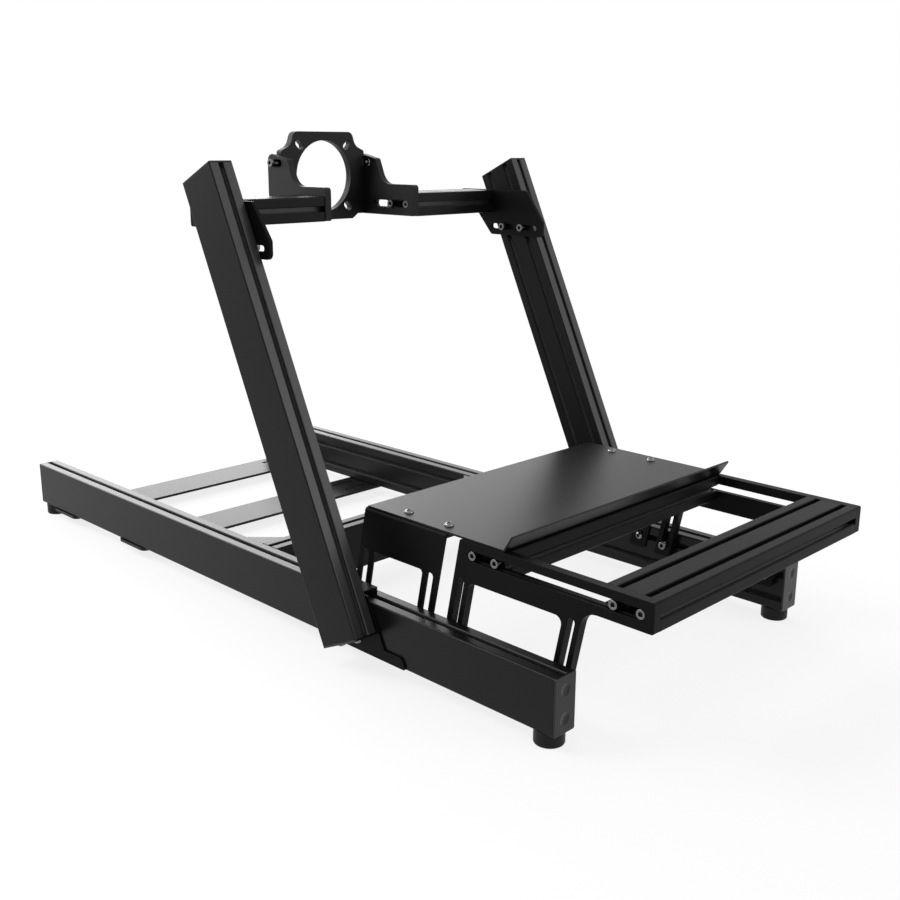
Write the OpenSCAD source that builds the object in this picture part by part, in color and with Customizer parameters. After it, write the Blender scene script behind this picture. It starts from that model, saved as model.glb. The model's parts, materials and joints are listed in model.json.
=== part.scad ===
// Open frame driving simulator cockpit without seat: two base rails on feet,
// leaning uprights with a wheel mount, a heel plate and a pedal deck.
// X to the driver's right, Y forward to the pedals, Z up from the floor, mm.

/* [Base frame] */

// Overall length of a base rail with its end caps
frame_len = 1350; // [1100:10:1600]
// Outer width over the two base rails
frame_w = 600; // [560:5:700]
// Height of the rubber feet
foot_h = 20.5; // [12:0.5:30]
// Radius of a foot at the floor
foot_r = 20.5; // [15:0.5:25]
// Distance of a foot axis from the end of the frame
foot_inset = 24; // [20:1:120]
// Rear face of the middle crossbeam
mid_y = 24; // [-60:1:120]

/* [Profile] */

// Narrow side of every profile
prof_w = 40; // [40:1:45]
// Wide side of every profile
prof_h = 80; // [80:1:90]
// Opening of a T-slot
slot_open = 8.2; // [6:0.1:10]
// Radius of the core bores
core_r = 3.4; // [2.5:0.1:5]
// Thickness of a plastic end cap
cap_t = 3; // [2:0.5:5]

/* [Seat bars] */

// Width of a seat bar
bar_w = 90; // [60:1:110]
// Thickness of a seat bar
bar_t = 5; // [4:0.5:8]
// Length of a seat bar
bar_len = 606; // [560:1:620]
// Centre of the rear seat bar
bar_y_rear = -578.5; // [-620:0.5:-500]
// Centre of the front seat bar
bar_y_front = -326; // [-400:0.5:-200]
// Distance between the two seat slots of one end
bar_slot_gap = 40; // [30:1:60]

/* [Uprights] */

// Length of an upright with its caps
upright_len = 714; // [500:1:900]
// Backward lean of the uprights in degrees
lean = 25.2; // [0:0.1:35]
// Bottom front corner of an upright, forward position
upright_y = 352; // [250:1:450]
// Bottom front corner of an upright, height
upright_z = 59; // [40:1:120]
// Thickness of the plate between rail and upright
bracket_t = 3; // [2:0.5:8]
// Thickness of the clamp flange on top of the rail
clamp_t = 9; // [5:0.5:12]

/* [Wheel mount] */

// Front face of the wheel crossbeams
beam_y = 13; // [-40:1:80]
// Top face of the wheel crossbeams
beam_z = 647; // [500:1:700]
// Thickness of the plates that carry the crossbeams
corner_t = 6; // [5:0.5:12]
// Outer width over the wheel mount side plates
mount_w = 207; // [160:1:240]
// Thickness of a wheel mount side plate
side_t = 12; // [8:0.5:14]
// Thickness of the wheel base front plate
face_t = 13; // [8:0.5:16]
// Front face of the wheel base front plate
face_y = -114; // [-150:1:-80]
// Centre height of the wheel base hole
face_z = 674; // [620:1:720]
// Radius of the wheel base hole
face_r = 60; // [40:0.5:70]

/* [Pedal deck] */

// Top face of the pedal deck
deck_z = 221; // [160:1:260]
// Front face of the front deck crossbeam
deck_y_front = 784.5; // [700:0.5:900]
// Front face of the rear deck crossbeam
deck_y_rear = 553.5; // [500:0.5:650]
// Thickness of a deck side plate
deck_t = 13.5; // [10:0.5:16]
// Backward slant of the legs, forward run per height
leg_slant = 0.2; // [0:0.01:0.35]
// Width of the long bolt slots in the thick plates
long_slot = 11.4; // [9:0.1:12]

/* [Heel plate] */

// Width of the heel plate
heel_w = 515; // [400:1:518]
// Rear edge of the heel plate
heel_y0 = 284.5; // [200:0.5:350]
// Bend line of the raised lip
heel_y1 = 549; // [450:0.5:600]
// Sheet thickness of heel plate and supports
sheet_t = 3; // [2:0.5:5]
// Distance of the heel bolts across the frame
heel_bolt_x = 475; // [300:1:500]
// Distance of the heel bolts along the frame
heel_bolt_y = 80; // [40:1:160]

/* [Hidden] */

hw = frame_w / 2;
hl = frame_len / 2;
in_x = hw - prof_w;
rail_z = foot_h + prof_h / 2;
rail_top = foot_h + prof_h;
rail_len = frame_len - 2 * cap_t;
up_x = hw + bracket_t;
shift_y = -(deck_y_front - hl) / 2;
m8_r = 4.5;
head_r = 7.3;
slot_r = long_slot / 2;
leg_foot_z = foot_h + prof_h / 2;
seg = 6;
eps = 0.01;

// Unit vector and corner rounding for polygons.
function unit(v) = v / norm(v);
function turn(a) = a > 180 ? a - 360 : (a < -180 ? a + 360 : a);
function corner(a, b, c, r) =
  r <= 0 ? [b] :
  let (
    u = unit(a - b),
    v = unit(c - b),
    half = acos(u * v) / 2,
    m = b + unit(u + v) * r / sin(half),
    p = b + u * r / tan(half),
    q = b + v * r / tan(half),
    a0 = atan2(p[1] - m[1], p[0] - m[0]),
    da = turn(atan2(q[1] - m[1], q[0] - m[0]) - a0)
  )
  [for (i = [0:seg]) m + r * [cos(a0 + da * i / seg), sin(a0 + da * i / seg)]];
function rounded(p, r) =
  let (n = len(p))
  [for (i = [0:n - 1])
    each corner(p[(i + n - 1) % n], p[i], p[(i + 1) % n], r[i])];

// Puts a part in the row's frame, mirrored when it is the left one.
module placed(right = true) {
  translate([0, shift_y, 0]) {
    if (right) {
      children();
    } else {
      mirror([1, 0, 0]) children();
    }
  }
}

// A flat plate in the Y-Z plane, from x0 towards +X.
module yz_plate(x0, t) {
  translate([x0, 0, 0])
    rotate([90, 0, 90])
      linear_extrude(t) children();
}

// A slot outline between two points.
module slot_2d(a, b, r) {
  d = unit(b - a);
  n = [-d[1], d[0]];
  union() {
    polygon([a + n * r, b + n * r, b - n * r, a - n * r]);
    translate(a) circle(r, $fn = 48);
    translate(b) circle(r, $fn = 48);
  }
}

// The cavity of an open T-slot; the mouth is at the origin, depth along +y.
module t_slot_2d() {
  m = slot_open / 2;
  polygon([
    [-m - 1.1, -eps], [-m, 1.1], [-m, 4.5], [-10.2, 4.5], [-10.2, 6.8],
    [-4.8, 12.2], [4.8, 12.2], [10.2, 6.8], [10.2, 4.5], [m, 4.5],
    [m, 1.1], [m + 1.1, -eps]
  ]);
}

// The same cavity behind a closed face.
module closed_slot_2d() {
  polygon([
    [-10.2, 2.2], [-10.2, 6.8], [-4.8, 12.2], [4.8, 12.2],
    [10.2, 6.8], [10.2, 2.2]
  ]);
}

// Section of the profile: wide side along y, closed on +x when asked.
module profile_2d(closed) {
  hx = prof_w / 2;
  hy = prof_h / 2;
  outline = [[-hx, -hy], [hx, -hy], [hx, hy], [-hx, hy]];
  difference() {
    polygon(rounded(outline, [2.5, 2.5, 2.5, 2.5]));
    translate([0, -hy]) t_slot_2d();
    translate([0, hy]) rotate(180) t_slot_2d();
    for (v = [-prof_h / 4, prof_h / 4]) {
      translate([-hx, v]) rotate(-90) t_slot_2d();
      translate([hx, v])
        rotate(90) {
          if (closed) {
            closed_slot_2d();
          } else {
            t_slot_2d();
          }
        }
      translate([0, v]) circle(core_r, $fn = 32);
    }
    polygon([
      [-13, -3.5], [-10, -6.5], [10, -6.5], [13, -3.5],
      [13, 3.5], [10, 6.5], [-10, 6.5], [-13, 3.5]
    ]);
  }
}

// Round shallow dish, cut downwards from the plane z = 0.
module dish(r, depth) {
  ball = (r * r + depth * depth) / (2 * depth);
  edge = asin(r / ball);
  arc = [for (i = [0:5]) ball * [sin(edge * i / 5), -cos(edge * i / 5)]];
  rotate_extrude($fn = 48)
    polygon(concat(
      [for (p = arc) [p[0], p[1] + ball - depth]],
      [[r, 1], [0, 1]]
    ));
}

// Plastic cap over a profile end, with two shallow dishes.
module cap_3d() {
  hx = prof_w / 2;
  hy = prof_h / 2;
  outline = [[-hx, -hy], [hx, -hy], [hx, hy], [-hx, hy]];
  difference() {
    linear_extrude(cap_t) polygon(rounded(outline, [2.5, 2.5, 2.5, 2.5]));
    for (v = [-prof_h / 4, prof_h / 4]) {
      translate([0, v, cap_t]) dish(9.3, 1.8);
    }
  }
}

module rail(right) {
  color([0.10, 0.10, 0.11])
    placed(right)
      translate([hw - prof_w / 2, rail_len / 2, rail_z])
        rotate([90, 0, 0])
          linear_extrude(rail_len) profile_2d(true);
}

module rail_cap(right, front) {
  color([0.14, 0.14, 0.14])
    placed(right)
      translate([hw - prof_w / 2, (front ? 1 : -1) * rail_len / 2, rail_z])
        rotate([front ? -90 : 90, 0, 0]) cap_3d();
}

module foot(right, front) {
  color([0.06, 0.06, 0.06])
    placed(right)
      translate([hw - prof_w / 2, (front ? 1 : -1) * (hl - foot_inset), 0])
        rotate_extrude($fn = 64)
          polygon(rounded(
            [[0, 0], [foot_r, 0], [foot_r, foot_h], [0, foot_h]],
            [0, 2.5, 0, 0]
          ));
}

module seat_bar(y0) {
  bl = bar_len / 2;
  bw = bar_w / 2;
  outline = [[-bl, -bw], [bl, -bw], [bl, bw], [-bl, bw]];
  color([0.12, 0.12, 0.12])
    placed()
      translate([0, y0, foot_h - bar_t])
        linear_extrude(bar_t)
          difference() {
            polygon(rounded(outline, [12, 12, 12, 12]));
            for (s = [-1, 1], t = [-1, 1]) {
              slot_2d(
                [s * 197, t * bar_slot_gap / 2],
                [s * 245, t * bar_slot_gap / 2],
                m8_r
              );
              translate([s * (hw - prof_w / 2), t * bar_slot_gap / 2])
                circle(m8_r, $fn = 48);
            }
          }
}

module mid_beam() {
  color([0.10, 0.10, 0.11])
    placed()
      translate([-in_x, mid_y + prof_w / 2, rail_z])
        rotate([90, 0, 90])
          linear_extrude(2 * in_x) profile_2d(true);
}

module corner_bracket(right) {
  leg = 43;
  wide = 37;
  wall = 4.5;
  cheek = 3;
  top_z = rail_top - 1.5;
  color([0.13, 0.13, 0.13])
    placed(right)
      difference() {
        union() {
          translate([in_x - wall, mid_y - leg, top_z - wide])
            cube([wall, leg, wide]);
          translate([in_x - leg, mid_y - wall, top_z - wide])
            cube([leg, wall, wide]);
          for (z = [top_z - wide, top_z - cheek]) {
            translate([0, 0, z])
              linear_extrude(cheek)
                polygon([
                  [in_x, mid_y], [in_x, mid_y - leg],
                  [in_x - 3, mid_y - leg], [in_x - leg, mid_y - 3],
                  [in_x - leg, mid_y]
                ]);
          }
        }
        translate([in_x - wall - 1, mid_y - 26, rail_top - 20])
          rotate([0, 90, 0]) cylinder(r = m8_r, h = wall + 2, $fn = 40);
        translate([in_x - 26, mid_y - wall - 1, rail_top - 20])
          rotate([-90, 0, 0]) cylinder(r = m8_r, h = wall + 2, $fn = 40);
      }
}

// Places a child whose front edge stands on the bottom front corner.
module leaned() {
  translate([up_x + prof_w / 2, upright_y, upright_z])
    rotate([lean, 0, 0])
      translate([0, -prof_h / 2, 0]) children();
}

module upright(right) {
  color([0.10, 0.10, 0.11])
    placed(right)
      leaned()
        translate([0, 0, cap_t])
          linear_extrude(upright_len - 2 * cap_t) profile_2d(true);
}

module upright_cap(right, top) {
  color([0.14, 0.14, 0.14])
    placed(right)
      leaned()
        translate([0, 0, top ? upright_len - cap_t : cap_t])
          rotate([0, top ? 0 : 180, 0]) cap_3d();
}

module upright_bracket(right) {
  z0 = foot_h;
  z1 = rail_top + clamp_t;
  outline = [
    [268, z0], [408, z0], [406.5, 30], [400, 37.5], [366, 37.5],
    [331.5, z1], [238, z1], [268, 46]
  ];
  color([0.12, 0.12, 0.12])
    placed(right)
      difference() {
        union() {
          yz_plate(hw, bracket_t)
            polygon(rounded(outline, [0, 2, 4, 6, 4, 0, 0, 8]));
          translate([hw - 32, 250, rail_top])
            cube([32 + eps, 64, clamp_t]);
        }
        translate([hw - prof_w / 2, 282, rail_top - 1])
          cylinder(r = m8_r, h = clamp_t + 2, $fn = 48);
      }
}

module beam_plate(right) {
  x0 = up_x - corner_t;
  slot_z = 582.5;
  outline = [
    [beam_y - 82, beam_z + 1], [92, beam_z + 1], [131.6, 594],
    [131.6, 567], [8, 567], [-25, 604.5], [beam_y - 82, 604.5]
  ];
  color([0.12, 0.12, 0.12])
    placed(right)
      difference() {
        yz_plate(x0, corner_t)
          difference() {
            polygon(rounded(outline, [4, 5, 6, 9, 8, 4, 4]));
            slot_2d([13, slot_z], [113.5, slot_z], m8_r);
            for (v = [-60, -20]) {
              translate([beam_y + v, beam_z - 20]) circle(m8_r, $fn = 48);
            }
          }
        for (v = [-60, -20]) {
          translate([up_x - 4, beam_y + v, beam_z - 20])
            rotate([0, 90, 0])
              cylinder(r1 = m8_r, r2 = m8_r + 4 + eps, h = 4 + eps, $fn = 48);
        }
      }
}

// Open profile lying flat along X, from x0 to x1, front face at y1.
module flat_beam(x0, x1, y1, z1) {
  translate([x0, y1 - prof_h / 2, z1 - prof_w / 2])
    rotate([90, 0, 90])
      linear_extrude(x1 - x0)
        rotate(90) profile_2d(false);
}

module wheel_beam(right) {
  color([0.10, 0.10, 0.11])
    placed(right)
      flat_beam(mount_w / 2, up_x - corner_t, beam_y, beam_z);
}

module wheel_side(right) {
  bot = beam_z - prof_w + 0.5;
  front = beam_y + 1.5;
  rear = face_y - face_t - 9;
  arm = beam_z + 13.5;
  top = beam_z + 64.5;
  bolt_y = face_y - face_t / 2;
  ear_z = beam_z + 50;
  slot_a = [beam_y - 95.5, beam_z - 20];
  slot_b = [beam_y - 20, beam_z - 20];
  outline = [
    [rear, bot], [front, bot], [front, arm], [-66, arm],
    [-83.5, top - 8], [-122, top], [rear, top]
  ];
  color([0.12, 0.12, 0.12])
    placed(right)
      difference() {
        yz_plate(mount_w / 2 - side_t, side_t)
          difference() {
            polygon(rounded(outline, [6, 3, 6, 28, 5, 10, 12]));
            slot_2d([bolt_y, ear_z], [bolt_y + 17, ear_z], slot_r);
            slot_2d(slot_a, slot_b, slot_r);
            translate([bolt_y, bot + 22]) circle(m8_r, $fn = 48);
          }
        yz_plate(mount_w / 2 - side_t - 1, 5) slot_2d(slot_a, slot_b, head_r);
      }
}

module wheel_face() {
  s = mount_w / 2 - side_t;
  bot = beam_z - prof_w - 7.5;
  top = beam_z + 101.5;
  right_side = [
    [64, bot], [76, beam_z - prof_w + 1], [s, beam_z - prof_w + 1],
    [s, top - 31.7], [71.5, top - 23.5], [64, top]
  ];
  left_side = [for (i = [5:-1:0]) [-right_side[i][0], right_side[i][1]]];
  radii = [3, 3, 0, 5, 20, 12];
  back = [for (i = [5:-1:0]) radii[i]];
  color([0.12, 0.12, 0.12])
    placed()
      translate([0, face_y, 0])
        rotate([90, 0, 0])
          linear_extrude(face_t)
            difference() {
              polygon(rounded(concat(right_side, left_side), concat(radii, back)));
              translate([0, face_z]) circle(face_r, $fn = 128);
              for (a = [45:90:315]) {
                d = [cos(a), sin(a)];
                slot_2d([0, face_z] + 70 * d, [0, face_z] + 78 * d, 5.5);
              }
            }
}

// Leg line of the plates that stand inside the rails.
function slant_y(y, z) = y - leg_slant * (deck_z - z);

module heel_support(right) {
  y0 = 280;
  y1 = 445;
  foot_z = leg_foot_z;
  low_z = rail_top - 20;
  win_z = 157;
  pts = [
    [slant_y(y0, foot_z), foot_z], [slant_y(y0 + 32, foot_z), foot_z],
    [slant_y(y0 + 32, win_z), win_z], [slant_y(y1 - 32, win_z), win_z],
    [slant_y(y1 - 32, foot_z), foot_z], [slant_y(y1, foot_z), foot_z],
    [y1, deck_z - 6], [y0, deck_z - 6]
  ];
  color([0.12, 0.12, 0.12])
    placed(right)
      difference() {
        union() {
          yz_plate(in_x - sheet_t, sheet_t)
            difference() {
              polygon(rounded(pts, [4, 4, 5.5, 5.5, 4, 4, 2, 2]));
              for (y = [y0 + 16, y1 - 16]) {
                slot_2d([slant_y(y, low_z), low_z], [slant_y(y, 151.5), 151.5], 5.5);
              }
            }
          translate([in_x - 6, y1, deck_z - 6])
            rotate([90, 0, 0])
              linear_extrude(y1 - y0)
                difference() {
                  intersection() {
                    circle(6, $fn = 48);
                    square(6);
                  }
                  circle(3, $fn = 48);
                }
          translate([in_x - 46, y0, deck_z - sheet_t])
            cube([40 + eps, y1 - y0, sheet_t]);
        }
        for (s = [-1, 1]) {
          translate([heel_bolt_x / 2, 389.5 + s * heel_bolt_y / 2, deck_z - 5])
            cylinder(r = m8_r, h = 10, $fn = 48);
        }
      }
}

module heel_plate() {
  a = 57;
  lip = 27;
  t = sheet_t;
  tip = [heel_y1 + lip * cos(a), lip * sin(a)];
  section = [
    [heel_y0, 0], [heel_y1, 0], tip, tip + t * [-sin(a), cos(a)],
    [heel_y1 - t * tan(a / 2), t], [heel_y0, t]
  ];
  color([0.14, 0.14, 0.14])
    placed()
      difference() {
        translate([-heel_w / 2, 0, deck_z])
          rotate([90, 0, 90])
            linear_extrude(heel_w)
              polygon(rounded(section, [0, 6, 0, 0, 3, 0]));
        for (r = [-1, 1], s = [-1, 1]) {
          translate([r * heel_bolt_x / 2, 389.5 + s * heel_bolt_y / 2, deck_z - 1])
            cylinder(r = m8_r, h = t + 2, $fn = 48);
        }
      }
}

module deck_side(right) {
  y0 = 471.7;
  foot_z = leg_foot_z;
  low_z = rail_top - 20;
  win_z = 163;
  arm_z = deck_z - prof_w;
  slot_z = deck_z - prof_w / 2 + 0.5;
  slot_a = deck_y_rear - 60;
  slot_b = deck_y_front - 20;
  pts = [
    [slant_y(y0, foot_z), foot_z], [slant_y(y0 + 29, foot_z), foot_z],
    [slant_y(y0 + 29, win_z), win_z], [slant_y(y0 + 190, win_z), win_z],
    [slant_y(y0 + 190, foot_z), foot_z], [slant_y(y0 + 218, foot_z), foot_z],
    [slant_y(y0 + 218, arm_z), arm_z], [deck_y_front, arm_z],
    [deck_y_front, deck_z], [y0, deck_z]
  ];
  color([0.12, 0.12, 0.12])
    placed(right)
      difference() {
        yz_plate(in_x - deck_t, deck_t)
          difference() {
            polygon(rounded(pts, [4, 4, 10, 10, 4, 4, 25, 3, 3, 4]));
            slot_2d([slot_a, slot_z], [slot_b, slot_z], slot_r);
            for (y = [y0 + 14.5, y0 + 204]) {
              slot_2d([slant_y(y, low_z), low_z], [slant_y(y, 160), 160], slot_r);
            }
          }
        yz_plate(in_x - 5, 6) slot_2d([slot_a, slot_z], [slot_b, slot_z], head_r);
      }
}

module deck_beam(y1) {
  color([0.10, 0.10, 0.11])
    placed() flat_beam(-in_x + deck_t, in_x - deck_t, y1, deck_z);
}

module rail_right() {
  rail(true);
}
module rail_left() {
  rail(false);
}
module rail_cap_front_right() {
  rail_cap(true, true);
}
module rail_cap_front_left() {
  rail_cap(false, true);
}
module rail_cap_rear_right() {
  rail_cap(true, false);
}
module rail_cap_rear_left() {
  rail_cap(false, false);
}
module foot_front_right() {
  foot(true, true);
}
module foot_front_left() {
  foot(false, true);
}
module foot_rear_right() {
  foot(true, false);
}
module foot_rear_left() {
  foot(false, false);
}
module seat_bar_rear() {
  seat_bar(bar_y_rear);
}
module seat_bar_front() {
  seat_bar(bar_y_front);
}
module corner_bracket_right() {
  corner_bracket(true);
}
module corner_bracket_left() {
  corner_bracket(false);
}
module upright_bracket_right() {
  upright_bracket(true);
}
module upright_bracket_left() {
  upright_bracket(false);
}
module upright_right() {
  upright(true);
}
module upright_left() {
  upright(false);
}
module upright_cap_top_right() {
  upright_cap(true, true);
}
module upright_cap_top_left() {
  upright_cap(false, true);
}
module upright_cap_bottom_right() {
  upright_cap(true, false);
}
module upright_cap_bottom_left() {
  upright_cap(false, false);
}
module beam_plate_right() {
  beam_plate(true);
}
module beam_plate_left() {
  beam_plate(false);
}
module wheel_beam_right() {
  wheel_beam(true);
}
module wheel_beam_left() {
  wheel_beam(false);
}
module wheel_side_right() {
  wheel_side(true);
}
module wheel_side_left() {
  wheel_side(false);
}
module heel_support_right() {
  heel_support(true);
}
module heel_support_left() {
  heel_support(false);
}
module deck_side_right() {
  deck_side(true);
}
module deck_side_left() {
  deck_side(false);
}
module deck_beam_rear() {
  deck_beam(deck_y_rear);
}
module deck_beam_front() {
  deck_beam(deck_y_front);
}

rail_right();
rail_left();
rail_cap_front_right();
rail_cap_front_left();
rail_cap_rear_right();
rail_cap_rear_left();
foot_front_right();
foot_front_left();
foot_rear_right();
foot_rear_left();
seat_bar_rear();
seat_bar_front();
mid_beam();
corner_bracket_right();
corner_bracket_left();
upright_bracket_right();
upright_bracket_left();
upright_right();
upright_left();
upright_cap_top_right();
upright_cap_top_left();
upright_cap_bottom_right();
upright_cap_bottom_left();
beam_plate_right();
beam_plate_left();
wheel_beam_right();
wheel_beam_left();
wheel_side_right();
wheel_side_left();
wheel_face();
heel_support_right();
heel_support_left();
heel_plate();
deck_side_right();
deck_side_left();
deck_beam_rear();
deck_beam_front();
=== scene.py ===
"""Looks of an open driving simulator cockpit frame: finishes, fasteners and studio.

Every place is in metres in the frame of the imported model: X to the driver's
right, Y forward to the pedals, Z up from the floor.
"""

import json
import math

import bmesh
import bpy
from mathutils import Matrix, Vector

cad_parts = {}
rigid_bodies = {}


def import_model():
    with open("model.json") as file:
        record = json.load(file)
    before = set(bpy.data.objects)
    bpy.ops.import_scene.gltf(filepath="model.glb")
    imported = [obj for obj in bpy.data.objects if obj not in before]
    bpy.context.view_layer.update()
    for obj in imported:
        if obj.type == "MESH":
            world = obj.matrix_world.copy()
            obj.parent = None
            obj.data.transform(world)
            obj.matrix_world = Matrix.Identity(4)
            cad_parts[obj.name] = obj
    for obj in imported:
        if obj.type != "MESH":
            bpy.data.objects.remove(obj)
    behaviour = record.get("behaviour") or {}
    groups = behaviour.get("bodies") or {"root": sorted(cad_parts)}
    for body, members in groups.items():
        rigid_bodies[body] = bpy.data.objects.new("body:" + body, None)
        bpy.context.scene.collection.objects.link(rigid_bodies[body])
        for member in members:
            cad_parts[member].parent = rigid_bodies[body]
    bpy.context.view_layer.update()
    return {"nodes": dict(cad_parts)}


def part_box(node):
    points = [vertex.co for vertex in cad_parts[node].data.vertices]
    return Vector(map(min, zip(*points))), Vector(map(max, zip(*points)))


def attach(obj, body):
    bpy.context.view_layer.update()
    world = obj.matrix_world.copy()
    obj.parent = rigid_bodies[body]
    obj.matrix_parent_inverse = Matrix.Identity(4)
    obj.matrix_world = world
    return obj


# Blender's own cube, camera and lamp go first
for leftover in list(bpy.data.objects):
    bpy.data.objects.remove(leftover, do_unlink=True)

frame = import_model()
NODES = frame["nodes"]
BODY = "root"
SIDES = {"right": 1, "left": -1}

# Backward lean of the uprights
LEAN = math.radians(25.2)


# Materials

# Index of refraction of the clear oxide or coat on a black finish
COAT_IOR = 1.5

# Linear greys between which each black finish drifts
BAR_GREYS = (0.0045, 0.0065)
PLATE_GREYS = (0.0030, 0.0045)
SHEET_GREYS = (0.0040, 0.0056)

# Roughness ranges
PLATE_ROUGH = (0.40, 0.46)
SHEET_ROUGH = (0.33, 0.41)

# Scale of the die lines' noise along a bar, where across it is 1
DRAWN = 0.02

# Short names of the shader's own sockets
SOCKETS = {"ior": "IOR", "gloss": "Specular IOR Level", "metal": "Metallic"}


class Tree:
    """A material's node tree with short calls for the nodes that are used here."""

    def __init__(self, name):
        self.material = bpy.data.materials.new(name)
        self.material.use_nodes = True
        self.nodes = self.material.node_tree.nodes
        self.links = self.material.node_tree.links
        self.shader = self.nodes["Principled BSDF"]

    def add(self, kind, values=None, **settings):
        """A new node, whose inputs take numbers or other nodes' outputs."""
        node = self.nodes.new(kind)
        for key, value in settings.items():
            setattr(node, key, value)
        for key, value in (values or {}).items():
            if isinstance(value, bpy.types.NodeSocket):
                self.links.new(value, node.inputs[key])
            else:
                node.inputs[key].default_value = value
        return node

    def join(self, output, name):
        """Links an output to the shader."""
        self.links.new(output, self.shader.inputs[name])

    def set(self, **numbers):
        """Puts constants on the shader's own sockets."""
        for name, value in numbers.items():
            self.shader.inputs[SOCKETS[name]].default_value = value

    def position(self, scale=(1, 1, 1), turn=(0, 0, 0)):
        """Object coordinates, scaled, so that the grain has a real size."""
        spot = self.add("ShaderNodeTexCoord").outputs["Object"]
        values = {"Vector": spot, "Scale": scale, "Rotation": turn}
        return self.add("ShaderNodeMapping", values).outputs["Vector"]

    def noise(self, vector, scale, detail=2.0, rough=0.5):
        """Noise whose scale is in features per metre."""
        values = {"Vector": vector, "Scale": scale, "Detail": detail, "Roughness": rough}
        return self.add("ShaderNodeTexNoise", values).outputs["Fac"]

    def ramp(self, value, low, high, to_low, to_high):
        """Stretches low..high of a value to to_low..to_high."""
        values = {
            "Value": value,
            "From Min": low,
            "From Max": high,
            "To Min": to_low,
            "To Max": to_high,
        }
        return self.add("ShaderNodeMapRange", values).outputs["Result"]

    def colours(self, value, first, second):
        """Mixes two greys by a value."""
        node = self.add("ShaderNodeMix", {"Factor": value}, data_type="RGBA")
        node.inputs["A"].default_value = (*grey(first), 1)
        node.inputs["B"].default_value = (*grey(second), 1)
        return node.outputs["Result"]

    def bump(self, height, strength, distance, below=None):
        """A bump, laid over the one below it."""
        values = {"Height": height, "Strength": strength, "Distance": distance}
        if below is not None:
            values["Normal"] = below
        return self.add("ShaderNodeBump", values).outputs["Normal"]


def grey(level):
    """A grey with a trace of blue."""
    return (level, level, level * 1.03)


def anodised(name, along, tilt=0.0, rough=0.30, gloss=0.16):
    """Satin black anodised extrusion: fine die lines along the bar and a faint mottle."""
    t = Tree(name)
    stretch = tuple(DRAWN if axis == along else 1 for axis in "XYZ")
    lines_at = t.position(stretch, (tilt, 0, 0))
    lines = t.noise(lines_at, 900, detail=3.0, rough=0.6)
    cloud = t.noise(t.position(), 14, detail=3.0, rough=0.55)
    grain = t.noise(t.position(), 5200, detail=1.0, rough=0.5)
    t.join(t.colours(cloud, *BAR_GREYS), "Base Color")
    t.join(t.ramp(lines, 0.25, 0.75, rough - 0.04, rough + 0.04), "Roughness")
    ridges = t.bump(lines, strength=0.05, distance=0.0002)
    t.join(t.bump(grain, strength=0.06, distance=0.0001, below=ridges), "Normal")
    t.set(ior=COAT_IOR, gloss=gloss)
    return t.material


def plate_finish(name, gloss):
    """Machined plate under black anodising: softer than the bars, with no die lines."""
    t = Tree(name)
    cloud = t.noise(t.position(), 22, detail=3.0, rough=0.5)
    grain = t.noise(t.position(), 3800, detail=2.0, rough=0.55)
    t.join(t.colours(cloud, *PLATE_GREYS), "Base Color")
    t.join(t.ramp(cloud, 0.3, 0.7, *PLATE_ROUGH), "Roughness")
    t.join(t.bump(grain, strength=0.10, distance=0.0001), "Normal")
    t.set(ior=COAT_IOR, gloss=gloss)
    return t.material


def powder_coat(name, gloss):
    """Fine textured black powder coat on folded sheet."""
    t = Tree(name)
    cloud = t.noise(t.position(), 9, detail=2.0, rough=0.5)
    peel = t.noise(t.position(), 1500, detail=2.0, rough=0.6)
    t.join(t.colours(cloud, *SHEET_GREYS), "Base Color")
    t.join(t.ramp(peel, 0.3, 0.7, *SHEET_ROUGH), "Roughness")
    t.join(t.bump(peel, strength=0.10, distance=0.0002), "Normal")
    t.set(ior=COAT_IOR, gloss=gloss)
    return t.material


def moulded(name, level, rough, gloss=0.25):
    """Moulded black plastic or rubber with a fine spark-eroded grain; also gives the painted
    light on the slot walls and the painted shade in the screw sockets.
    """
    t = Tree(name)
    grain = t.noise(t.position(), 2600, detail=3.0, rough=0.6)
    cloud = t.noise(t.position(), 40, detail=2.0, rough=0.5)
    t.join(t.colours(cloud, level * 0.85, level * 1.15), "Base Color")
    t.join(t.ramp(grain, 0.3, 0.7, rough - 0.04, rough + 0.04), "Roughness")
    t.join(t.bump(grain, strength=0.15, distance=0.0002), "Normal")
    t.set(gloss=gloss)
    return t.material


def screw_steel(name, level, rough):
    """Plated steel screw with faint turning marks."""
    t = Tree(name)
    marks = t.noise(t.position(), 1800, detail=3.0, rough=0.6)
    tone = t.noise(t.position(), 320, detail=2.0, rough=0.5)
    t.join(t.colours(tone, level * 0.92, level * 1.06), "Base Color")
    t.join(t.ramp(marks, 0.3, 0.7, rough - 0.05, rough + 0.07), "Roughness")
    t.join(t.bump(marks, strength=0.08, distance=0.0001), "Normal")
    t.set(metal=1.0)
    return t.material


BAR_Y = anodised("black_anodised_bar_y", "Y")
BAR_X = anodised("black_anodised_bar_x", "X", gloss=0.13)
BAR_UP = anodised("black_anodised_upright", "Z", tilt=-LEAN, gloss=0.115)
BAR_DECK = anodised("black_anodised_deck_bar", "X", rough=0.42, gloss=0.07)
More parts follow.
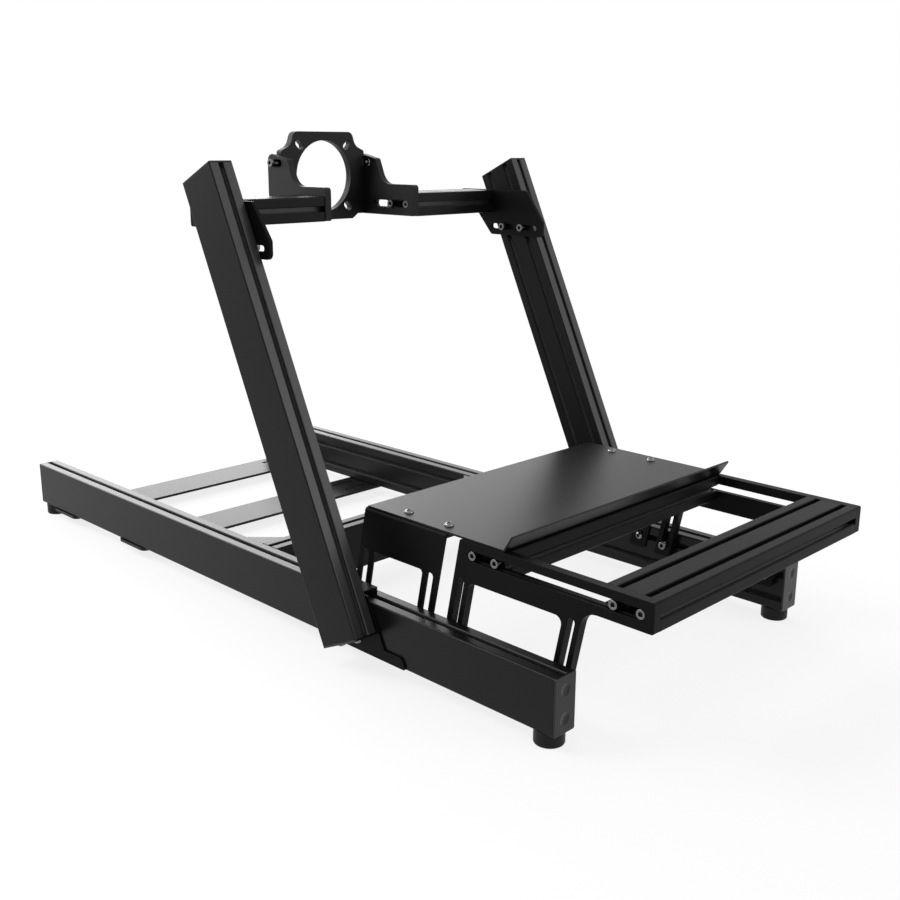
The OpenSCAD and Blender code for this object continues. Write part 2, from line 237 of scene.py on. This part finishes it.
# Painted light: the slot walls are a lighter grey than the bars, standing in for the light
# that reaches into the slots
SLOT_PAINTED_LIGHT = moulded("slot_wall_painted_light", level=0.030, rough=0.35, gloss=0.5)
PLATE = plate_finish("black_anodised_plate", gloss=0.07)
HEAD_PLATE = plate_finish("black_anodised_head_plate", gloss=0.21)
SHEET = powder_coat("black_powder_coat", gloss=0.185)
CAP = moulded("black_cap_plastic", level=0.007, rough=0.25, gloss=0.30)
RUBBER = moulded("black_rubber", level=0.006, rough=0.50, gloss=0.18)
STEEL = screw_steel("bright_screw_steel", level=0.18, rough=0.12)
DULL_STEEL = screw_steel("dull_screw_steel", level=0.16, rough=0.30)
SOCKET = moulded("screw_socket_shadow", level=0.006, rough=0.5)

# What a node wears, by the first row here that its name starts with
FINISHES = (
    (("rail_cap", "upright_cap"), CAP),
    (("foot",), RUBBER),
    (("rail", "corner"), BAR_Y),
    (("upright_right", "upright_left"), BAR_UP),
    (("deck_beam",), BAR_DECK),
    (("mid_beam", "wheel_beam"), BAR_X),
    (("wheel",), HEAD_PLATE),
    (("seat_bar", "heel_plate"), SHEET),
    (("",), PLATE),
)
BARS = (BAR_Y, BAR_UP, BAR_DECK, BAR_X)


def finish_of(node):
    return next(finish for starts, finish in FINISHES if node.startswith(starts))


# Soft edges on the imported nodes, and painted light on their slot walls

# Bevel widths
EDGE = 0.0004
CAP_EDGE = 0.0006
FOOT_EDGE = 0.0008

WELD_REACH = 0.00001
FLAT_LIMIT = math.radians(0.3)
SMOOTH_LIMIT = math.radians(32)
BEVEL_LIMIT = math.radians(40)

# A slot wall lies deeper than this under a bar's outer faces
SLOT_INSET = 0.0012
# The deck beams' upper slots keep the bar's own colour, without painted light, down to this
# depth
DECK_TOP_SKIP = 0.011


def smooth_group():
    """A node group that shades smooth across edges flatter than SMOOTH_LIMIT."""
    group = bpy.data.node_groups.new("smooth_by_angle", "GeometryNodeTree")
    for way in ("INPUT", "OUTPUT"):
        group.interface.new_socket("Geometry", in_out=way, socket_type="NodeSocketGeometry")
    start = group.nodes.new("NodeGroupInput")
    end = group.nodes.new("NodeGroupOutput")
    faces = group.nodes.new("GeometryNodeSetShadeSmooth")
    edges = group.nodes.new("GeometryNodeSetShadeSmooth")
    edges.domain = "EDGE"
    angle = group.nodes.new("GeometryNodeInputMeshEdgeAngle")
    flat = group.nodes.new("FunctionNodeCompare")
    flat.operation = "LESS_THAN"
    flat.inputs["B"].default_value = SMOOTH_LIMIT
    link = group.links.new
    link(start.outputs[0], faces.inputs["Geometry"])
    link(faces.outputs["Geometry"], edges.inputs["Geometry"])
    link(angle.outputs["Unsigned Angle"], flat.inputs["A"])
    link(flat.outputs["Result"], edges.inputs["Shade Smooth"])
    link(edges.outputs["Geometry"], end.inputs[0])
    return group


SMOOTH = smooth_group()


def shade_smooth(obj):
    obj.modifiers.new("smooth", "NODES").node_group = SMOOTH


def paint_light_in_slots(obj, tilt, top_skip):
    """Paints light on the walls inside a bar's slots, a lighter grey that stands in for
    light reaching into them, down from top_skip.
    """
    turn = Matrix.Rotation(tilt, 3, "X")
    points = [turn @ vertex.co for vertex in obj.data.vertices]
    low = [min(p[i] for p in points) + SLOT_INSET for i in range(3)]
    high = [max(p[i] for p in points) - SLOT_INSET for i in range(3)]
    high[2] -= top_skip
    obj.data.materials.append(SLOT_PAINTED_LIGHT)
    for face in obj.data.polygons:
        middle = turn @ face.center
        if all(low[i] < middle[i] < high[i] for i in range(3)):
            face.material_index = 1


def soften(obj, width):
    """Welds the imported faces, rounds the sharp edges a little and shades them smooth."""
    layers = obj.data.attributes
    if "custom_normal" in layers:
        layers.remove(layers["custom_normal"])
    weld = obj.modifiers.new("weld", "WELD")
    weld.merge_threshold = WELD_REACH
    # Flat faces in one piece: thin triangles would turn over in the bevel
    merge = obj.modifiers.new("merge_flats", "DECIMATE")
    merge.decimate_type = "DISSOLVE"
    merge.angle_limit = FLAT_LIMIT
    merge.delimit = {"MATERIAL"}
    shade_smooth(obj)
    bevel = obj.modifiers.new("bevel", "BEVEL")
    bevel.width = width
    bevel.segments = 2
    bevel.limit_method = "ANGLE"
    bevel.angle_limit = BEVEL_LIMIT
    bevel.use_clamp_overlap = True
    bevel.face_strength_mode = "FSTR_ALL"
    flat = obj.modifiers.new("flat_faces", "WEIGHTED_NORMAL")
    flat.keep_sharp = True
    flat.weight = 50
    flat.use_face_influence = True


def dress_nodes():
    for name, obj in NODES.items():
        finish = finish_of(name)
        obj.data.materials.clear()
        obj.data.materials.append(finish)
        if finish in BARS and not name.startswith("corner"):
            paint_light_in_slots(obj, LEAN if finish is BAR_UP else 0.0,
                       DECK_TOP_SKIP if finish is BAR_DECK else 0.0)
        soften(obj, {CAP: CAP_EDGE, RUBBER: FOOT_EDGE}.get(finish, EDGE))


# Screws

STEPS = 48
SHANK_R = 0.004
SHANK = 0.006
SOCKET_CHAMFER = 0.0004
SOCKET_CONE = 0.0008


def ring(bm, radius_at, height):
    """A closed ring of points, whose distance from Z is a function of the angle."""
    points = []
    for i in range(STEPS):
        a = 2 * math.pi * i / STEPS
        radius = radius_at(a)
        points.append(bm.verts.new((radius * math.cos(a), radius * math.sin(a), height)))
    return points


def round_ring(bm, radius, height):
    return ring(bm, lambda a: radius, height)


def hex_ring(bm, across, height):
    """A ring on a hexagon, with as many points as the round rings."""
    def radius_at(a):
        part = (a + math.pi / 6) % (math.pi / 3) - math.pi / 6
        return across / 2 / math.cos(part)
    return ring(bm, radius_at, height)


def bridge(bm, low, high):
    """Faces between two rings."""
    for i in range(STEPS):
        j = (i + 1) % STEPS
        bm.faces.new((low[i], low[j], high[j], high[i]))


def screw_mesh(name, outline, across, rim, depth, shank=SHANK, metal=None):
    """A hex socket screw whose head stands on the plane z = 0, shank below it.

    outline is the head's (radius, height) points, across the socket's width,
    rim the radius of its mouth and depth its depth.
    """
    bm = bmesh.new()
    top = outline[-1][1]
    body = [(0.0001, -shank), (SHANK_R, -shank), (SHANK_R, 0.0), *outline]
    rings = [round_ring(bm, radius, height) for radius, height in body]
    for low, high in zip(rings, rings[1:]):
        bridge(bm, low, high)
    bm.faces.new(list(reversed(rings[0])))
    mouth = round_ring(bm, rim, top)
    bridge(bm, rings[-1], mouth)
    lip = hex_ring(bm, across, top - SOCKET_CHAMFER)
    bridge(bm, mouth, lip)
    floor = hex_ring(bm, across, top - depth)
    bridge(bm, lip, floor)
    centre = bm.verts.new((0, 0, top - depth - SOCKET_CONE))
    for i in range(STEPS):
        face = bm.faces.new((floor[i], floor[(i + 1) % STEPS], centre))
        face.material_index = 1
    bmesh.ops.recalc_face_normals(bm, faces=bm.faces)
    mesh = bpy.data.meshes.new(name)
    bm.to_mesh(mesh)
    bm.free()
    mesh.materials.append(metal or DULL_STEEL)
    mesh.materials.append(SOCKET)
    return mesh


def dome(radius, height, steps):
    """Points of a flattened dome with a short rim and a flat top."""
    rim = 0.0006
    first, sweep = 12, 50
    points = [(radius - 0.0002, 0.0), (radius, 0.0002), (radius, rim)]
    for i in range(1, steps + 1):
        a = math.radians(first + sweep * i / steps)
        points.append((radius * math.cos(a) / math.cos(math.radians(first)),
                       rim + (height - rim) * (math.sin(a) - 0.208) / 0.675))
    return points


def socket_head(name, height):
    """A low cylinder head with a softly broken rim."""
    outline = [(0.0062, 0.0), (0.0065, 0.0003), (0.0065, height - 0.0006),
               (0.0063, height - 0.0002), (0.0060, height)]
    return screw_mesh(name, outline, across=0.0060, rim=0.0037, depth=height * 0.75)


BUTTON = screw_mesh("button_head", dome(0.0070, 0.0044, 7), across=0.0050, rim=0.0030,
                    depth=0.0026, metal=STEEL)
CAP_HEAD = socket_head("cap_head", 0.0080)
DEEP_HEAD = socket_head("socket_head", 0.0048)
LOW_HEAD = socket_head("low_head", 0.0040)
FLAT_HEAD = screw_mesh("flat_head", [(0.0045, 0.0), (0.0082, 0.0037), (0.0082, 0.0040)],
                       across=0.0050, rim=0.0030, depth=0.0030, shank=0.004)


# Where the screws go

# Profile: its wide side, its two core bores from the front edge of a flat bar, and
# how far a slot's middle stands from the edge or from the bar's middle line
PROFILE_H = 0.080
CORES = (0.020, 0.060)
SLOT_OFF = 0.020

# Pedal deck and heel plate: run of a leg per height, sheet thickness, depth of the
# deck side's slot pocket and its height under the top, middles of the leg slots from
# the deck side's rear edge, then the heel bolts and the slots of the supports' legs
# from their front edge
LEG_SLANT = 0.2
SHEET_T = 0.003
DECK_POCKET = 0.005
DECK_SLOT_DOWN = 0.0195
DECK_LEG_SLOTS = (0.0145, 0.204)
HEEL_BOLT_X = 0.2375
HEEL_BOLTS_BACK = (0.0155, 0.0955)
HEEL_LEG_SLOTS_BACK = (0.016, 0.149)

# Wheel mount: depths of the side plate's slot pocket and of the countersink, the
# slot of the plate on the upright over its lower edge, and the side plate's upper
# slot under its top and its lower hole over its lower edge
EAR_POCKET = 0.004
SINK = 0.004
PLATE_SLOT_UP = 0.0155
EAR_SLOT_DOWN = 0.0145
EAR_BOLT_UP = 0.022

# Base frame: the clamp's bolt from the bracket's rear edge, and the corner bracket's
# wall and its bolts from its corner
CLAMP_BOLT_AHEAD = 0.044
CORNER_WALL = 0.0045
CORNER_BOLT_BACK = 0.026


def place(mesh, name, at, out, turn=0.0):
    """Puts a screw with its head's seat at a point, facing along out."""
    obj = bpy.data.objects.new(name, mesh)
    bpy.context.scene.collection.objects.link(obj)
    aim = Vector(out).to_track_quat("Z", "Y").to_matrix().to_4x4()
    spin = Matrix.Rotation(turn, 4, "Z")
    obj.matrix_world = Matrix.Translation(Vector(at)) @ aim @ spin
    shade_smooth(obj)
    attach(obj, BODY)


def rail_groove():
    """Height of the upper T-slot on a rail's inner side."""
    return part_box("rail_right")[1].z - SLOT_OFF


def slanted(y, z, top):
    """Where a slanted leg's line, given at the deck's top, stands at height z."""
    return y - LEG_SLANT * (top - z)


def upright_line(z):
    """Y of the upright's middle line at height z."""
    low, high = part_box("upright_right")
    foot_y = high.y - PROFILE_H / 2 * math.cos(LEAN)
    foot_z = low.z + PROFILE_H / 2 * math.sin(LEAN)
    return foot_y - (z - foot_z) * math.tan(LEAN)


def deck_screws(side, s):
    """Screws through the deck sides into the crossbeams, and the legs into the rail."""
    low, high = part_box("deck_side_right")
    groove = rail_groove()
    beams = [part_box(n)[1].y for n in ("deck_beam_front", "deck_beam_rear")]
    spots = [front - offset for front in beams for offset in CORES]
    for i, y in enumerate(spots):
        at = (s * (high.x - DECK_POCKET), y, high.z - DECK_SLOT_DOWN)
        place(DEEP_HEAD, f"deck_screw_{side}_{i}", at, (s, 0, 0), 0.3 * i)
    rear = low.y + LEG_SLANT * (high.z - low.z)
    for i, ahead in enumerate(DECK_LEG_SLOTS):
        at = (s * low.x, slanted(rear + ahead, groove, high.z), groove)
        place(CAP_HEAD, f"deck_leg_screw_{side}_{i}", at, (-s, 0, 0), 0.4 + i)


def heel_screws(side, s):
    """Button heads on the heel plate, and through the supports' legs into the rail."""
    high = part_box("heel_support_right")[1]
    groove = rail_groove()
    for i, back in enumerate(HEEL_BOLTS_BACK):
        at = (s * HEEL_BOLT_X, high.y - back, high.z + SHEET_T)
        place(BUTTON, f"heel_screw_{side}_{i}", at, (0, 0, 1), 0.2 + i)
    for i, back in enumerate(HEEL_LEG_SLOTS_BACK):
        at = (s * (high.x - SHEET_T), slanted(high.y - back, groove, high.z), groove)
        place(BUTTON, f"heel_leg_screw_{side}_{i}", at, (-s, 0, 0), 0.7 + i)


def wheel_mount_screws(side, s):
    """Screws of the crossbeams, of the plates on the uprights and of the front plate."""
    plate_low, plate_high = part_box("beam_plate_right")
    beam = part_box("wheel_beam_right")[1]
    ear_low, ear_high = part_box("wheel_side_right")
    face_low, face_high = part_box("wheel_face")
    z = beam.z - SLOT_OFF
    for i, offset in enumerate(CORES):
        y = beam.y - offset
        place(LOW_HEAD, f"wheel_beam_screw_{side}_{i}", (s * (ear_low.x + EAR_POCKET), y, z),
              (-s, 0, 0), 0.4 * i)
        place(FLAT_HEAD, f"beam_end_screw_{side}_{i}", (s * (plate_high.x - SINK), y, z),
              (s, 0, 0), 0.5 + i)
    slot_z = plate_low.z + PLATE_SLOT_UP
    for i, k in enumerate((-1, 1)):
        y = upright_line(slot_z) + k * SLOT_OFF / math.cos(LEAN)
        place(CAP_HEAD, f"plate_screw_{side}_{i}", (s * plate_low.x, y, slot_z),
              (-s, 0, 0), 0.9 + i)
    face_y = (face_low.y + face_high.y) / 2
    for i, z in enumerate((ear_high.z - EAR_SLOT_DOWN, ear_low.z + EAR_BOLT_UP)):
        place(CAP_HEAD, f"front_plate_screw_{side}_{i}", (s * ear_high.x, face_y, z),
              (s, 0, 0), 0.6 + i)


def frame_screws(side, s):
    """Screws of the uprights' feet, clamp flanges, corner brackets and seat bars."""
    rail_low, rail_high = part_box("rail_right")
    rail_x = (rail_low.x + rail_high.x) / 2

    low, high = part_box("upright_cap_bottom_right")
    down = Vector((0, math.sin(LEAN), -math.cos(LEAN)))
    across = Vector((0, math.cos(LEAN), math.sin(LEAN)))
    centre_x = Vector((s * (low.x + high.x) / 2, 0, 0))
    corner = Vector((0, high.y, low.z + PROFILE_H * math.sin(LEAN)))
    middle = centre_x + corner - across * (PROFILE_H / 2)
    for i, k in enumerate((-1, 1)):
        place(BUTTON, f"upright_foot_screw_{side}_{i}", middle + across * SLOT_OFF * k,
              down, 0.3 + i)

    low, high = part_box("upright_bracket_right")
    place(BUTTON, f"clamp_screw_{side}", (s * rail_x, low.y + CLAMP_BOLT_AHEAD, high.z),
          (0, 0, 1))

    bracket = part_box("corner_bracket_right")[1]
    groove = rail_groove()
    at = (s * (bracket.x - CORNER_WALL), bracket.y - CORNER_BOLT_BACK, groove)
    place(BUTTON, f"corner_screw_rail_{side}", at, (-s, 0, 0))
    at = (s * (bracket.x - CORNER_BOLT_BACK), bracket.y - CORNER_WALL, groove)
    place(BUTTON, f"corner_screw_beam_{side}", at, (0, -1, 0))

    for bar in ("seat_bar_rear", "seat_bar_front"):
        low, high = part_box(bar)
        for i, k in enumerate((-1, 1)):
            at = (s * rail_x, (low.y + high.y) / 2 + SLOT_OFF * k, low.z)
            place(BUTTON, f"{bar}_screw_{side}_{i}", at, (0, 0, -1), 0.5 * i)


def fasteners():
    for side, s in SIDES.items():
        deck_screws(side, s)
        heel_screws(side, s)
        wheel_mount_screws(side, s)
        frame_screws(side, s)


# Studio

WHITE = (1, 1, 1, 1)

# The room's strength as light; where it is seen it is full white
WORLD_LEVEL = 0.50

# Camera, from the fit of the frame's corners in the photograph
CAMERA_AT = (1.28724, 1.41236, 0.73022)
CAMERA_YAW = math.radians(134.64)
CAMERA_PITCH = math.radians(-15.13)
CAMERA_ROLL = math.radians(0.27)
# Focal length and width of the photograph in pixels, sensor width in millimetres
FOCAL_PIXELS = 1134.8
PHOTO_PIXELS = 900
SENSOR = 36.0

# Softboxes: name, place, aim, width and height, brightness of the face
LAMPS = (
    ("rear_softbox", (-0.4, -5.5, 2.3), (0, 0, 0.2), (7.8, 3.0), 4.4),
    ("side_softbox", (-5.2, -4.9, 2.3), (0, 0, 0.2), (2.0, 3.0), 1.5),
    ("top_softbox", (2.2, -1.9, 3.0), (0.2, 0.2, 0.1), (1.6, 1.6), 7.0),
    ("front_softbox", (-1.4, 3.85, 2.2), (0.3, 0.1, 0.5), (1.7, 1.7), 3.2),
)

# Floor: its size, its greys as bounce light and where it is seen, and its own glow,
# which fades to plain white between two distances from the middle
FLOOR_SIZE = 60
FLOOR_BOUNCE = 0.72
FLOOR_SEEN = 0.22
FLOOR_GLOW = 0.80
FADE_FROM = 1.1
FADE_TO = 2.4


def camera():
    """The photograph's viewpoint."""
    cos_pitch = math.cos(CAMERA_PITCH)
    ahead = Vector((-math.sin(CAMERA_YAW) * cos_pitch, math.cos(CAMERA_YAW) * cos_pitch,
                    math.sin(CAMERA_PITCH)))
    right = Vector((math.cos(CAMERA_YAW), math.sin(CAMERA_YAW), 0))
    above = right.cross(ahead)
    rolled_right = right * math.cos(CAMERA_ROLL) + above * math.sin(CAMERA_ROLL)
    rolled_above = -right * math.sin(CAMERA_ROLL) + above * math.cos(CAMERA_ROLL)
    data = bpy.data.cameras.new("camera")
    data.sensor_width = SENSOR
    data.lens = SENSOR * FOCAL_PIXELS / PHOTO_PIXELS
    data.clip_start = 0.05
    data.clip_end = 200
    obj = bpy.data.objects.new("camera", data)
    bpy.context.scene.collection.objects.link(obj)
    turn = Matrix((rolled_right, rolled_above, -ahead)).transposed()
    obj.matrix_world = Matrix.Translation(CAMERA_AT) @ turn.to_4x4()
    bpy.context.scene.camera = obj


def seen_directly(nodes, links):
    """1 for camera, glossy and transmission rays, so that metal shows the background too."""
    path = nodes.new("ShaderNodeLightPath")
    first = nodes.new("ShaderNodeMath")
    second = nodes.new("ShaderNodeMath")
    for node in (first, second):
        node.operation = "MAXIMUM"
    links.new(path.outputs["Is Camera Ray"], first.inputs[0])
    links.new(path.outputs["Is Glossy Ray"], first.inputs[1])
    links.new(first.outputs[0], second.inputs[0])
    links.new(path.outputs["Is Transmission Ray"], second.inputs[1])
    return second.outputs[0]


def world_light():
    """A plain white room: full white where it is seen, half of that as light."""
    world = bpy.data.worlds.new("studio")
    bpy.context.scene.world = world
    world.use_nodes = True
    nodes, links = world.node_tree.nodes, world.node_tree.links
    nodes.clear()
    room = nodes.new("ShaderNodeBackground")
    room.inputs["Color"].default_value = WHITE
    room.inputs["Strength"].default_value = WORLD_LEVEL
    white = nodes.new("ShaderNodeBackground")
    white.inputs["Color"].default_value = WHITE
    mix = nodes.new("ShaderNodeMixShader")
    links.new(seen_directly(nodes, links), mix.inputs[0])
    links.new(room.outputs[0], mix.inputs[1])
    links.new(white.outputs[0], mix.inputs[2])
    links.new(mix.outputs[0], nodes.new("ShaderNodeOutputWorld").inputs[0])


def softbox(name, at, aim, size, radiance):
    """A rectangular soft lamp whose face has the given brightness."""
    data = bpy.data.lights.new(name, "AREA")
    data.shape = "RECTANGLE"
    data.size, data.size_y = size
    data.energy = radiance * math.pi * size[0] * size[1]
    obj = bpy.data.objects.new(name, data)
    bpy.context.scene.collection.objects.link(obj)
    ahead = Vector(aim) - Vector(at)
    obj.matrix_world = (Matrix.Translation(Vector(at))
                        @ ahead.to_track_quat("-Z", "Y").to_matrix().to_4x4())


def floor_finish():
    """Pale floor: plain grey as bounce light, nearly white with the shadow where seen."""
    t = Tree("pale_floor")
    t.nodes.remove(t.shader)
    bounce = t.add("ShaderNodeBsdfDiffuse", {"Color": (*[FLOOR_BOUNCE] * 3, 1)})
    shade = t.add("ShaderNodeBsdfDiffuse", {"Color": (*[FLOOR_SEEN] * 3, 1)})
    glow = t.add("ShaderNodeEmission", {"Color": WHITE, "Strength": FLOOR_GLOW})
    white = t.add("ShaderNodeEmission", {"Color": WHITE, "Strength": 1.0})
    both = t.add("ShaderNodeAddShader", {0: shade.outputs[0], 1: glow.outputs[0]})
    length = t.add("ShaderNodeVectorMath", {0: t.position()}, operation="LENGTH")
    away = t.ramp(length.outputs["Value"], FADE_FROM, FADE_TO, 0.0, 1.0)
    fading = t.add("ShaderNodeMixShader", {0: away, 1: both.outputs[0], 2: white.outputs[0]})
    ends = {1: bounce.outputs[0], 2: fading.outputs[0]}
    seen = t.add("ShaderNodeMixShader", {0: seen_directly(t.nodes, t.links), **ends})
    t.links.new(seen.outputs[0], t.nodes["Material Output"].inputs["Surface"])
    return t.material


def floor():
    bm = bmesh.new()
    bmesh.ops.create_grid(bm, x_segments=1, y_segments=1, size=FLOOR_SIZE)
    mesh = bpy.data.meshes.new("floor")
    bm.to_mesh(mesh)
    bm.free()
    mesh.materials.append(floor_finish())
    obj = bpy.data.objects.new("floor", mesh)
    bpy.context.scene.collection.objects.link(obj)


camera()
dress_nodes()
fasteners()
world_light()
for lamp in LAMPS:
    softbox(*lamp)
floor()

bpy.context.scene.view_settings.view_transform = "Standard"
